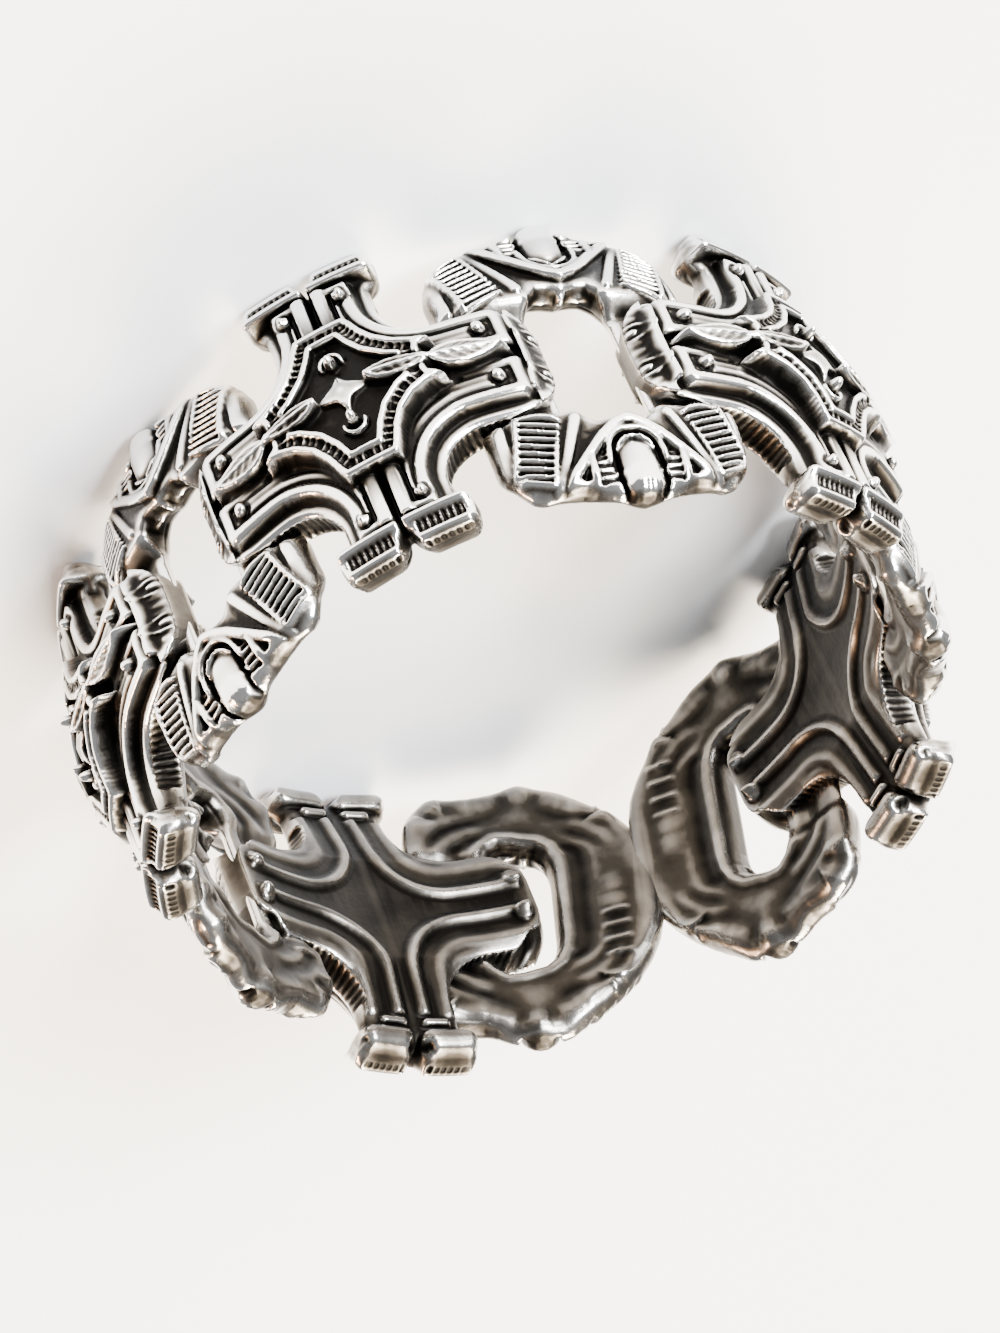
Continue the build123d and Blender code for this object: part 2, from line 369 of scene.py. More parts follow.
def hoof(a, b, height):
    """A hoof: a face that falls to the rim, with a bar at its root, a reeded panel and a thick edge."""
    on_hoof = eased(b - HOOF_ROOT, SOFT)
    face = HOOF - HOOF_FALL * climb(b, HOOF_FALL_START, HOOF_FALL_LENGTH) ** 1.2
    panel = band(a - HOOF_PANEL[0], HOOF_PANEL_HALF[0], FIRM)
    panel = panel * band(b - HOOF_PANEL[1], HOOF_PANEL_HALF[1], CRISP)
    reeds = HOOF_REED_RISE * waves(a - 0.5, HOOF_REED_PITCH)
    face = lay(face, face - HOOF_PANEL_DEPTH + reeds, panel)
    for place, half, rise in HOOF_BARS:
        face = face + rise * bump(b - place, half)
    face = face - roll(HOOF_RIM - b, HOOF_RIM_RADIUS) - roll(HOOF_SIDE - a, HOOF_SIDE_RADIUS)
    height = lay(height, face, on_hoof)
    foot = band(b - HOOF_ROOT + 0.03, half=0.03) * eased(HOOF_FOOT_END - a, FIRM)
    height = lay(height, HOOF_FOOT, foot)
    gap = HOOF_GAP + HOOF_GAP_GAIN * climb(b, HOOF_GAP_START, HOOF_GAP_LENGTH)
    return lay(height, GROOVE, on_hoof * eased(gap - a, EDGE))


# The star plate
PLATE = 13.0
PLATE_FALL = 0.3  # from its middle to its tips at the posts
PLATE_ARM_FALL = 0.12  # from its middle to its tips at the arms
PLATE_RIDGES = (0.1, 0.58)  # how far in from the edge the border and the inner ridge lie
PLATE_RIDGE_DROP = 0.05
MILLED_START = 0.2
MILLED_DEPTH = 0.27
MILLED_RISE = 0.16
MILLED_PITCH = 0.21
FIELD_START = 0.64
FIELD_DEPTH = 0.34
FIELD_COLLAR = 1.2  # the arc past each of the field's studs: its centre along b, and its radius
FIELD_COLLAR_RADIUS = 0.32
FIELD_COLLAR_DROP = 0.08
STAR_POST = (0.86, 0.46)  # length and half width of the star's points along the post
STAR_ARM = (1.15, 0.42)
STAR_HOLLOW = 1.6  # more than 1 makes its sides hollow
STAR_DROP = 0.02
STAR_FALL = 0.25


def star(a, b):
    """Four points with hollow sides, as a share."""
    post_half = np.clip(1 - b / STAR_POST[0], 0, 1) ** STAR_HOLLOW * STAR_POST[1]
    arm_half = np.clip(1 - a / STAR_ARM[0], 0, 1) ** STAR_HOLLOW * STAR_ARM[1]
    return np.maximum(eased(post_half - a, EDGE), eased(arm_half - b, EDGE))


def plate(a, b, height):
    """The star plate: border, milled channel, inner ridge and a sunk field with a star and studs."""
    inside, along = depth(a, b, PLATE_EDGE)
    crown = PLATE - PLATE_FALL * (b / PLATE_REACH) ** 2 - PLATE_ARM_FALL * (a / PLATE_REACH) ** 2
    border, ridge = [inside - place for place in PLATE_RIDGES]
    top = rounded(border, half=0.14, top=crown, drop=PLATE_RIDGE_DROP)
    milled = crown - MILLED_DEPTH + MILLED_RISE * waves(along, MILLED_PITCH)
    top = lay(top, milled, eased(inside - MILLED_START, CRISP))
    field = lay(crown - FIELD_DEPTH, crown - STAR_DROP - STAR_FALL * np.hypot(a, b), star(a, b))
    field = studs(a, b, field, FIELD_STUDS, FIELD_STUD_RISE, collar=0)
    collar = band(np.hypot(a, b - FIELD_COLLAR) - FIELD_COLLAR_RADIUS, half=0.06) * eased(b - 1.1, SOFT)
    field = lay(field, crown - FIELD_COLLAR_DROP, collar)
    top = lay(top, field, eased(inside - FIELD_START, EDGE))
    top = lay(top, rounded(ridge, half=0.1, top=crown, drop=PLATE_RIDGE_DROP), band(ridge, half=0.1))
    return lay(height, top, eased(inside, SHARP))


# Leaves of the spine: start, end, half width and lift
LEAVES = ((0.72, 2.85, 0.36, 0.04), (2.5, 4.55, 0.48, -0.26))
LEAF_RISE = 0.14  # above the plate's crown
LEAF_FALL = 0.3  # from stalk to tip
LEAF_SIDE_FALL = 0.2
LEAF_NARROWING = 0.2
BLADE_DEPTH = 0.05
VEIN_DEPTH = 0.04
VEIN_PITCH = 0.27
LEAF_RIM_RISE = 0.03


def leaves(a, b, height):
    """The pairs of leaves along the arms, with falling sides, raised rims and veins."""
    for start, end, half, lift in LEAVES:
        share = climb(a, start, end - start)
        width = half * np.sin(np.pi * share**0.8) ** 0.75 * (1 - LEAF_NARROWING * share)
        inside = width - b
        top = PLATE + LEAF_RISE + lift - LEAF_FALL * share
        top = top - LEAF_SIDE_FALL * np.clip(b / width.clip(0.05), 0, 1) ** 2
        body = top - BLADE_DEPTH - VEIN_DEPTH * waves(a * 0.9 - b * 1.3, VEIN_PITCH)
        body = lay(body, top + LEAF_RIM_RISE, band(inside - 0.06, half=0.06))
        body = lay(body, top + LEAF_RIM_RISE, band(b, half=0.03, soft=CRISP))
        height = np.where(width > 0.02, lay(height, body, eased(inside + 0.03, SOFT)), height)
    return height


# The ledge round the cross
LEDGE = 11.75
LEDGE_DROP = 0.16
LEDGE_EDGE = 0.2


def cross_top(y, z):
    """The outer face of a cross."""
    a, b = np.abs(y), np.abs(z)
    edge, _ = depth(a, b, CROSS_EDGE)
    height = LEDGE - LEDGE_DROP * np.clip(1 - edge / LEDGE_EDGE, 0, 1) ** 2
    height = cross_borders(a, b, height)
    height = spine_bars(a, b, height)
    height = studs(a, b, height, CROSS_STUDS, CROSS_STUD_RISE, CROSS_STUD_COLLAR)
    height = arm_end(a, b, height)
    height = middle_groove(a, b, height)
    height = hoof(a, b, height)
    height = plate(a, b, height)
    height = leaves(a, b, height)
    return height - arm_bend(a)


# The inner face of the cross
INNER_BACK = 0.24  # how far it lies back from the finger's space
INNER_RIDGES = ((0.03, 0.34, 0.2), (0.95, 0.36, 0.09))  # distance from the inner line, half width and rise
INNER_GROOVE_DEPTH = 0.12
INNER_GROOVE_HALF = 0.22
INNER_GROOVE_START = 1.6
INNER_STUD = (4.3, 0.72)
INNER_STUD_RADIUS = 0.3
INNER_STUD_RISE = 0.2
INNER_EDGE_RADIUS = 0.45
ARM_LIFT = (4.4, 1.0, 0.2)  # where the face starts to lift at the arm's end, over what length, and how far
RIM_LIFT = (5.25, 0.3, 0.3)  # the same at the rim
# Middle and half length along a, place along b, radius and rise of the rounded bars inside the hooves
CAPSULES = ((0.7, 0.28, 4.36, 0.2, 0.22), (1.02, 0.56, 4.96, 0.4, 0.36))
CAPSULE_TRENCH = 0.06  # how deep the face is sunk round them


def cross_bottom(y, z):
    """The inner face of a cross: two ridges bent round each crotch, grooves, studs and hoof capsules."""
    a, b = np.abs(y), np.abs(z)
    edge, _ = depth(a, b, CROSS_EDGE)
    away, _ = depth(a, b, INNER_LINE, (INNER_CORNER,))
    raised = sum(rise * bump(away - place, half) for place, half, rise in INNER_RIDGES)
    raised = raised * eased(4.6 - a, width=0.4) * eased(4.7 - b, BROAD)
    groove = INNER_GROOVE_DEPTH * bump(np.minimum(a, b), INNER_GROOVE_HALF)
    groove = groove * eased(np.maximum(a, b) - INNER_GROOVE_START, width=1.2)
    raised = raised - groove * eased(4.4 - a, width=0.4)
    for middle, half_length, place, radius, rise in CAPSULES:
        capsule = np.hypot(np.maximum(np.abs(a - middle) - half_length, 0), b - place)
        raised = lay(raised, -CAPSULE_TRENCH, band(b - place, radius + 0.1, soft=0.15))
        raised = np.maximum(raised, rise * dome(capsule, radius))
    stud = np.hypot(a - INNER_STUD[0], b - INNER_STUD[1])
    raised = raised + INNER_STUD_RISE * dome(stud, INNER_STUD_RADIUS)
    arm_start, arm_length, arm_lift = ARM_LIFT
    rim_start, rim_length, rim_lift = RIM_LIFT
    lift = arm_lift * climb(a, arm_start, arm_length) ** 1.3
    lift = lift + rim_lift * climb(b, rim_start, rim_length) ** 2
    return hollow_radius(z) + INNER_BACK - raised + roll(edge, INNER_EDGE_RADIUS) + lift


# The sides of the cross
CROTCH_REACH = 2.6  # how far from the crotch's centre its carving reaches
CROTCH_TURN = -0.8  # radians: where it starts
CROTCH_HOLLOW = (10.9, 0.8, 0.16)  # height, half width and depth
CROTCH_REEDS = (11.1, 0.5, 0.05)
CROTCH_REED_PITCH = math.radians(8)
ARM_UNDERCUT = (11.9, 1.2, 0.6)  # the height that it starts under, its own height, and depth at its foot
HOOF_END_START = 5.0
HOOF_END_STEP = (11.2, 0.22)  # the height under which a hoof's end is drawn in, and by how much
HOOF_END_GROOVE = (11.27, 0.05, 0.1)  # height, half width and depth
HOOF_END_ROUNDING = (11.75, 0.55, 0.35)  # the height that it starts at, its own height, and its depth
END_PANEL = (1.05, 0.7)  # middle and half length of the reeded panel on a hoof's end
END_PANEL_HEIGHT = (11.7, 0.15)
END_PANEL_DEPTH = 0.14
END_REED_RISE = 0.06
END_REED_PITCH = 0.22


def cross_sides(y, z, heights):
    """Distance inside the outline at each height: reeded and undercut crotches, panelled hoof ends."""
    a, b = np.abs(y), np.abs(z)
    edge, _ = depth(a, b, CROSS_EDGE)
    from_centre = (a - CROTCH_CENTRE[0], b - CROTCH_CENTRE[1])
    turn = np.arctan2(from_centre[1], from_centre[0])
    in_crotch = eased(CROTCH_REACH - np.hypot(*from_centre), width=0.4)
    in_crotch = in_crotch * eased(CROTCH_TURN - turn, width=0.4)
    crotch_reeds = CROTCH_REEDS[2] * waves(turn, CROTCH_REED_PITCH)
    on_arm = eased(a - 4.1, width=0.6) * (b < 2.3)
    on_hoof = eased(b - HOOF_END_START, BROAD)
    panel = END_PANEL_DEPTH - END_REED_RISE * waves(a - 0.35, END_REED_PITCH)
    panel = panel * (band(a - END_PANEL[0], END_PANEL[1], SOFT) * on_hoof)
    layers = []
    for h in heights:
        reeds = crotch_reeds * band(h - CROTCH_REEDS[0], CROTCH_REEDS[1], BROAD)
        wall = in_crotch * (CROTCH_HOLLOW[2] * bump(h - CROTCH_HOLLOW[0], CROTCH_HOLLOW[1]) + reeds)
        undercut = climb(ARM_UNDERCUT[0] - h, 0, ARM_UNDERCUT[1]) ** 1.2
        wall = wall + ARM_UNDERCUT[2] * on_arm * undercut
        step = HOOF_END_STEP[1] * eased(HOOF_END_STEP[0] - h, BROAD)
        groove = HOOF_END_GROOVE[2] * band(h - HOOF_END_GROOVE[0], HOOF_END_GROOVE[1], SOFT)
        rounding = HOOF_END_ROUNDING[2] * climb(h, HOOF_END_ROUNDING[0], HOOF_END_ROUNDING[1]) ** 2.5
        wall = wall + on_hoof * (step + groove + rounding)
        layers.append(edge - wall - panel * band(h - END_PANEL_HEIGHT[0], END_PANEL_HEIGHT[1], FIRM))
    return np.stack(layers, axis=-1)


# Soot on the outer face of the cross, up to 1, with the noses made darker too
FIELD_SOOT_START = 0.66  # how far inside the plate's edge
FIELD_SOOT = 0.8
STAR_SOOT_LOSS = 0.45
MILLED_SOOT_PLACE = 0.36
MILLED_SOOT = 0.35
NOSE_DARKENING_START = 4.9
NOSE_DARKENING = 0.5


def cross_soot(y, z):
    """Where the outer face of a cross stays black: the plate's field and milled channel; the noses are
    made darker too.
    """
    a, b = np.abs(y), np.abs(z)
    inside, _ = depth(a, b, PLATE_EDGE)
    field = eased(inside - FIELD_SOOT_START, SOFT) * (FIELD_SOOT - STAR_SOOT_LOSS * star(a, b))
    milled = MILLED_SOOT * band(inside - MILLED_SOOT_PLACE, half=0.15)
    return np.clip(field + milled + NOSE_DARKENING * eased(a - NOSE_DARKENING_START, BROAD), 0, 1)


# The link, a quarter of it: where the two end links meet, they are rounder and their hole is narrower
LINK_SURFACE = 11.72
LINK_FALL = 0.62  # how much lower it is at the rims, and again under the crosses' arms
LINK_SLOPE_START = 2.6
LINK_SLOPE_END = 5.5
LINK_EDGE = [
    (3.65, 0), (3.65, 3.1), (3.62, 3.6), (3.52, 4.02), (3.31, 4.42), (3.0, 4.77), (2.6, 4.98),
    (2.1, 5.01), (1.6, 5.03), (1.3, 5.14), (1.02, 5.32), (0.75, 5.46), (0.4, 5.54), (0, 5.57),
]
JOINT_EDGE = [
    (4.05, 0), (4.03, 1.1), (3.9, 1.8), (3.62, 2.5), (3.2, 3.2), (2.68, 3.85), (2.1, 4.4), (1.6, 4.8),
    (1.3, 5.05), (1.02, 5.3), (0.75, 5.46), (0.4, 5.54), (0, 5.57),
]
LINK_RIM = 5.58
HOLE_EDGE = [(1.22, 0), (1.22, 1.7), (1.14, 2.15), (0.97, 2.52), (0.72, 2.72), (0.4, 2.7), (0, 2.58)]
JOINT_HOLE = [(0.76, 0), (0.76, 1.4), (0.7, 1.9), (0.54, 2.28), (0.3, 2.5), (0, 2.58)]
EYE_EDGE = [
    (0, 2.82), (0.45, 3.02), (0.95, 3.42), (1.45, 3.94), (1.9, 4.42), (2.32, 4.86), (1.9, 5.1),
    (1.3, 5.26), (0.7, 5.42), (0, 5.53),
]
PATCH = [(3.46, 4.3), (2.4, 4.82), (1.74, 2.6), (2.98, 2.1), (3.46, 4.3)]
PATCH_RIDGE = [(1.36, 2.7), (2.3, 4.86)]
BOSS_START = 4.15  # the ends of the line that the boss lies on, along z
BOSS_END = 5.0
BOSS_RADIUS = 0.6


def under_arm(y, b, is_end):
    """Where a link's side bars pass under the crosses' arms: on one side only for the end links."""
    return eased(2.15 - b, width=0.6) * ((y < 0) if is_end else 1)


def link_surface(b, sunk=0):
    """The link's outer surface before its carving."""
    fall = climb(b, LINK_SLOPE_START, LINK_SLOPE_END - LINK_SLOPE_START)
    return LINK_SURFACE - LINK_FALL * fall**1.3 - LINK_FALL * sunk


def link_depth(y, b, line, joint_line, is_end):
    """Distance inside a link's line, which differs beside the joint of the end links."""
    inside, _ = depth(np.abs(y), b, line)
    if not is_end:
        return inside
    at_joint, _ = depth(np.abs(y), b, joint_line)
    return np.where(y > 0, at_joint, inside)


def boss_distance(a, b):
    """Distance from the line that the boss lies on."""
    return np.hypot(a, b - np.clip(b, BOSS_START, BOSS_END))


# The bar beside the joint of the end links
JOINT_BAR_START = 0.6
JOINT_BAR_END = 2.35
JOINT_REEDS = (0.62, -0.52)  # how far inside the edge and outside the hole they start
JOINT_REED_DEPTH = 0.16
JOINT_REED_RISE = 0.2
JOINT_REED_PITCH = 0.31
JOINT_RIDGES = (0.46, 0.36)  # how far inside the edge and outside the hole they lie
JOINT_RIDGE_RISE = 0.14


def joint_bar(y, b, edge, hole, height):
    """The bar beside the joint of the end links: two ridges, and reeds between them."""
    bar = eased(y - JOINT_BAR_START, SOFT) * eased(JOINT_BAR_END - b, BROAD)
    between = eased(edge - JOINT_REEDS[0], CRISP) * eased(JOINT_REEDS[1] - hole, CRISP)
    reeds = height - JOINT_REED_DEPTH + JOINT_REED_RISE * waves(b, JOINT_REED_PITCH)
    height = lay(height, reeds, bar * between)
    ridge = np.minimum(np.abs(edge - JOINT_RIDGES[0]), np.abs(hole + JOINT_RIDGES[1]))
    top = rounded(ridge, half=0.2, top=height + JOINT_RIDGE_RISE, drop=0.08)
    return lay(height, top, bar * band(ridge, half=0.16))


# The eye on each of a link's bars: heights are given from the link's surface
EYE_REED_RISE = 0.1
EYE_REED_PITCH = 0.17
# How far in from the edge each ridge lies, the half width of its rounding, its rise, drop and half width
EYE_RIDGES = ((0.17, 0.2, 0.3, 0.1, 0.19), (0.62, 0.12, 0.26, 0.07, 0.1))
EYE_FIELD = 0.74  # how far inside its edge the eye's plain field starts
EYE_FIELD_DEPTH = 0.04
FLANK = (0.98, 4.6)  # places along y and z of the reeded flanks and of the columns beside the boss
FLANK_HALF = (0.22, 0.46)
FLANK_RISE = 0.04
FLANK_REED_RISE = 0.18
FLANK_REED_PITCH = 0.24
COLUMN = (1.34, 4.58)
COLUMN_HALF = (0.13, 0.5)
COLUMN_RISE = 0.28


def eye(a, b, surface, height):
    """The eye on a link's bar: milled border, two ridges, and a field with reeded flanks and columns."""
    inside, along = depth(a, b, EYE_EDGE, ())
    inner = surface + EYE_REED_RISE * waves(along, EYE_REED_PITCH)
    for place, rounding, rise, drop, half in EYE_RIDGES:
        ridge = rounded(inside - place, rounding, surface + rise, drop)
        inner = lay(inner, ridge, band(inside - place, half))
    inner = lay(inner, surface - EYE_FIELD_DEPTH, eased(inside - EYE_FIELD, SHARP))
    flank = band(a - FLANK[0], FLANK_HALF[0], SHARP) * band(b - FLANK[1], FLANK_HALF[1], FIRM)
    reeds = surface + FLANK_RISE + FLANK_REED_RISE * waves(b - FLANK[1], FLANK_REED_PITCH)
    inner = lay(inner, reeds, flank)
    column = band(a - COLUMN[0], COLUMN_HALF[0], SHARP) * band(b - COLUMN[1], COLUMN_HALF[1], FIRM)
    inner = lay(inner, rounded(a - COLUMN[0], half=0.16, top=surface + COLUMN_RISE, drop=0.06), column)
    return lay(height, inner, eased(inside, SHARP))


# The slanting reeded patches on a link's shoulders
PATCH_START = (2.2, 2.3)
PATCH_SLANT = (0.33, 0.94)  # direction along which its ribs follow each other
PATCH_RIB_DEPTH = 0.12
PATCH_RIB_RISE = 0.26
PATCH_RIB_PITCH = 0.235
PATCH_BORDER = 0.12
PATCH_BORDER_RISE = 0.16
PATCH_RIDGE_RISE = 0.14


def shoulder_patch(a, b, surface, height):
    """The reeded patch on a link's shoulder, with a plain border."""
    inside, _ = depth(a, b, PATCH, ())
    run = (a - PATCH_START[0]) * PATCH_SLANT[0] + (b - PATCH_START[1]) * PATCH_SLANT[1]
    ribs = surface - PATCH_RIB_DEPTH + PATCH_RIB_RISE * waves(run, PATCH_RIB_PITCH) ** 0.6
    border = eased(PATCH_BORDER - inside, SHARP) * eased(a - 0.12 * b - 1.6, BROAD)
    ribs = lay(ribs, surface + PATCH_BORDER_RISE, border)
    return lay(height, ribs, eased(inside, SHARP))


# The outer face of the link
LINK_GROOVE = (0.42, 0.05, 0.12)  # how far in from the edge, half width and depth
BOSS_COLLAR = (0.2, 0.08, 0.26)  # how far out from the boss, half width and rise
BOSS_TRENCH = (0.05, 0.05, 0.08)  # the same of the groove round the boss, and its depth
BOSS_DOME = 0.5
BOSS_SINK = 0.16
FLUTE_RISE = 0.05
FLUTE_PITCH = 0.2
LINK_EDGE_RADIUS = 0.42
HOLE_EDGE_RADIUS = 0.3


def link_top(y, z, is_end=False):
    """The outer face of a link."""
    a, b = np.abs(y), np.abs(z)
    edge = link_depth(y, b, LINK_EDGE, JOINT_EDGE, is_end)
    hole = link_depth(y, b, HOLE_EDGE, JOINT_HOLE, is_end)
    surface = link_surface(b, under_arm(y, b, is_end))
    groove = LINK_GROOVE[2] * band(edge - LINK_GROOVE[0], LINK_GROOVE[1], FIRM)
    height = surface - groove * eased(b - 1.6, width=0.3)
    if is_end:
        height = joint_bar(y, b, edge, hole, height)
    height = eye(a, b, surface, height)
    boss = boss_distance(a, b)
    collar = band(boss - BOSS_RADIUS - BOSS_COLLAR[0], BOSS_COLLAR[1])
    collar = collar * eased(BOSS_START + 0.25 - b, width=0.3)
    height = lay(height, surface + BOSS_COLLAR[2], collar)
    trench = band(boss - BOSS_RADIUS - BOSS_TRENCH[0], BOSS_TRENCH[1])
    height = lay(height, surface - BOSS_TRENCH[2], trench)
    height = shoulder_patch(a, b, surface, height)
    ridge, _ = follow(a, b, PATCH_RIDGE)
    on_ridge = band(ridge, half=0.16) * eased(-hole - 0.05, SOFT)
    height = lay(height, rounded(ridge, half=0.24, top=surface + PATCH_RIDGE_RISE, drop=0.1), on_ridge)
    height = height - roll(edge, LINK_EDGE_RADIUS) - roll(-hole, HOLE_EDGE_RADIUS)
    fluting = FLUTE_RISE * waves(a, FLUTE_PITCH) * eased(b - 5.2, SOFT)
    ball = link_surface(BOSS_START) - BOSS_SINK + BOSS_DOME * dome(boss, BOSS_RADIUS)
    ball = ball - 0.15 * climb(b, 4.5, 1) ** 1.5 + fluting
    return np.where(boss < BOSS_RADIUS, np.maximum(height, ball), height)


# The inner face of the link
INNER_SINK = 0.2  # how far it lies back from the finger's space
HOLE_RIDGE = (0.3, 0.4, 0.12)  # how far out from the hole, half width and rise
HOLE_HOLLOW = (0.95, 0.5, 0.1)  # the same, with its depth
SWELLING = (2.6, 0.3)  # where a side bar swells, along y and z
SWELLING_HALF = (0.6, 0.9)
SWELLING_RISE = 0.1
RING_CENTRE = (0.9, 1.6)  # folds in rings about this place
RING_PITCH = 0.75
RING_DEPTH = 0.04
WAVE_PITCH = 2.3  # a long fold across the bar at the rim
WAVE_SLANT = 0.3
WAVE_DEPTH = 0.06
DASH_PITCH = 0.62
DASH_RISE = 0.09
LUMP_PITCH = 1.5
LUMP_RISE = 0.12
INNER_RISE = 0.2  # how much thinner a side bar is under an arm
LINK_ROLL = 0.6
HOLE_ROLL = 0.5


def link_bottom(y, z, is_end=False):
    """The inner face of a link: soft hollows and folds between rounded edges, and reeds at one side."""
    a, b = np.abs(y), np.abs(z)
    edge = link_depth(y, b, LINK_EDGE, JOINT_EDGE, is_end)
    hole = link_depth(y, b, HOLE_EDGE, JOINT_HOLE, is_end)
    _, along = depth(a, b, LINK_EDGE)
    ridge = HOLE_RIDGE[2] * bump(hole + HOLE_RIDGE[0], HOLE_RIDGE[1])
    hollow = HOLE_HOLLOW[2] * bump(hole + HOLE_HOLLOW[0], HOLE_HOLLOW[1]) * eased(2.6 - b, width=0.8)
    sunk = INNER_SINK - ridge + hollow
    swelling = np.hypot((a - SWELLING[0]) / SWELLING_HALF[0], (b - SWELLING[1]) / SWELLING_HALF[1])
    sunk = sunk - SWELLING_RISE * bump(swelling, half=1.0)
    rings = np.hypot(a - RING_CENTRE[0], b - RING_CENTRE[1])
    rings = RING_DEPTH * np.cos(2 * np.pi * rings / RING_PITCH)
    sunk = sunk + rings * band(a - 2.1, half=0.8, soft=0.6) * band(b - 3.1, half=0.8, soft=0.7)
    wave = WAVE_DEPTH * np.cos(2 * np.pi * (a + WAVE_SLANT * b) / WAVE_PITCH)
    sunk = sunk + wave * eased(b - 3.6, width=0.8)
    dashes = waves(z - 0.75, DASH_PITCH) ** 2 * band(z - 1.7, half=1.0, soft=0.3)
    sunk = sunk - DASH_RISE * (dashes * band(y - 2.6, half=0.42, soft=0.3))
    lumps = LUMP_RISE * waves(along - 0.6, LUMP_PITCH) * band(edge - 0.4, half=0.5, soft=0.6)
    lumps = lumps * eased(b - 3.2, width=0.8)
    raised = INNER_RISE * under_arm(y, b, is_end) * eased(a - 1.4, width=0.3)
    height = FINGER_RADIUS + LINK_BACK + sunk - lumps + raised
    return height + roll(edge, LINK_ROLL) + roll(-hole, HOLE_ROLL)


# The sides of the link
BOSS_HEIGHT = 11.0
BOSS_HALF_HEIGHT = 0.65
BOSS_TAPER = 0.4
CURL = (0.55, 11.1)  # place along y and height of the curls in the hole's ends
CURL_RADIUS = 0.42
CURL_RISE = 0.15
SPLIT_HALF = 0.16  # the ridge between two curls
SPLIT_RISE = 0.14
CURL_GROOVE = (10.8, 0.06, 0.1)  # height, half width and depth
SCALLOP_PITCH = 1.1
SCALLOP_DEPTH = 0.06
SCALLOP_TOP = 10.95


def link_sides(y, z, heights, is_end=False):
    """Distance inside a link's ring at each height: bosses past the rims, and curls in the hole's ends."""
    a, b = np.abs(y), np.abs(z)
    edge = link_depth(y, b, LINK_EDGE, JOINT_EDGE, is_end)
    hole = link_depth(y, b, HOLE_EDGE, JOINT_HOLE, is_end)
    boss = BOSS_RADIUS - boss_distance(a, b)
    split = SPLIT_RISE * bump(a, SPLIT_HALF)
    scallops = SCALLOP_DEPTH * waves(a, SCALLOP_PITCH) * eased(b - 4.2, width=0.3)
    layers = []
    for h in heights:
        ball = boss - BOSS_TAPER * climb(np.abs(h - BOSS_HEIGHT), 0, BOSS_HALF_HEIGHT) ** 2
        curl = CURL_RISE * bump(np.hypot(a - CURL[0], h - CURL[1]), CURL_RADIUS) + split
        curl = curl - CURL_GROOVE[2] * band(h - CURL_GROOVE[0], CURL_GROOVE[1], FIRM)
        wall = hole - curl * eased(b - 2.0, width=0.3)
        lower = scallops * eased(SCALLOP_TOP - h, BROAD)
        ring = np.maximum(np.minimum(edge - lower, -wall), ball)
        layers.append(np.minimum(ring, LINK_RIM - b))
    return np.stack(layers, axis=-1)


def link_soot(y, z):
    """Where the outer face of a link stays black, the eye's field: less than 0 on the bright boss."""
    a, b = np.abs(y), np.abs(z)
    inside, _ = depth(a, b, EYE_EDGE, ())
    on_boss = eased(BOSS_RADIUS - 0.06 - boss_distance(a, b), FIRM)
    return 0.5 * eased(inside - EYE_FIELD, FIRM) - 0.8 * on_boss


def blurred(volume, radius):
    """A volume smoothed by a bell curve of that radius in steps."""
    reach = int(3 * radius) + 1
    places = np.arange(-reach, reach + 1)
    weights = np.exp(-0.5 * (places / radius) ** 2)
    weights /= weights.sum()
    for axis in range(3):
        padding = [(0, 0)] * 3
        padding[axis] = (reach, reach)
        padded = np.pad(volume, padding)
        length = volume.shape[axis]
        total = np.zeros_like(volume)
        for offset, weight in enumerate(weights):
            total += weight * padded.take(range(offset, offset + length), axis=axis)
        volume = total
    return volume


def sample(volume, points):
    """Values of a volume at points given in its steps."""
    low = np.clip(points.astype(int), 0, np.array(volume.shape) - 2)
    share = points - low
    total = np.zeros(len(points))
    for corner in range(8):
        offset = np.array([(corner >> axis) & 1 for axis in range(3)])
        weight = np.prod(np.where(offset, share, 1 - share), axis=1)
        total += weight * volume[tuple((low + offset).T)]
    return total


def outside_field(top, bottom, inside, heights, step):
    """How many steps each place of the grid lies outside a piece, less than 0 inside."""
    slants = []
    for surface in (top, bottom):
        steep = np.gradient(surface, step)
        slants.append(np.sqrt(1 + np.minimum(steep[0] ** 2 + steep[1] ** 2, STEEPEST)))
    above = (heights - top[:, :, None]) / slants[0][:, :, None]
    below = (bottom[:, :, None] - heights) / slants[1][:, :, None]
    field = np.maximum(np.maximum(above, below), -inside)
    field = np.clip(field / step, -FAR_STEPS, FAR_STEPS).astype(np.float32)
    return blurred(field, SMOOTHING)


